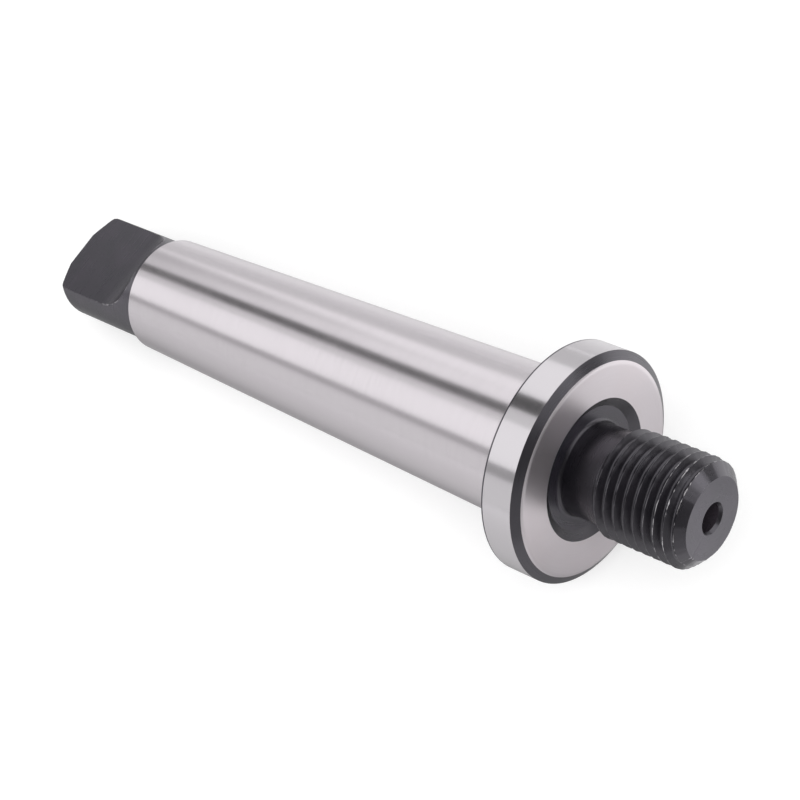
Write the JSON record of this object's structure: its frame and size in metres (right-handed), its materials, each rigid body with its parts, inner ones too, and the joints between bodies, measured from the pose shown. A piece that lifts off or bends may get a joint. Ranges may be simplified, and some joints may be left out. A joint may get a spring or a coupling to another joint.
{
  "type": "threaded drill chuck arbor",
  "caption": "Steel arbor with a self-holding taper shank and milled tang, a ground collar and a short threaded stud that a drill chuck screws onto.",
  "frame": {"origin": "on the axis at the taper's gauge plane, where the mouth of the spindle comes, 5 mm behind the collar", "axes": "+X along the axis towards the stud's end, +Z out of the tang's upper flat"},
  "size_m": [0.101, 0.027, 0.027],
  "materials": {
    "ground_steel": "fine ground on the shank and collar, black oxide on the tang, chamfer, recess, neck and thread"
  },
  "bodies": {
    "root": {"arbor": "ground_steel"}
  },
  "joints": []
}
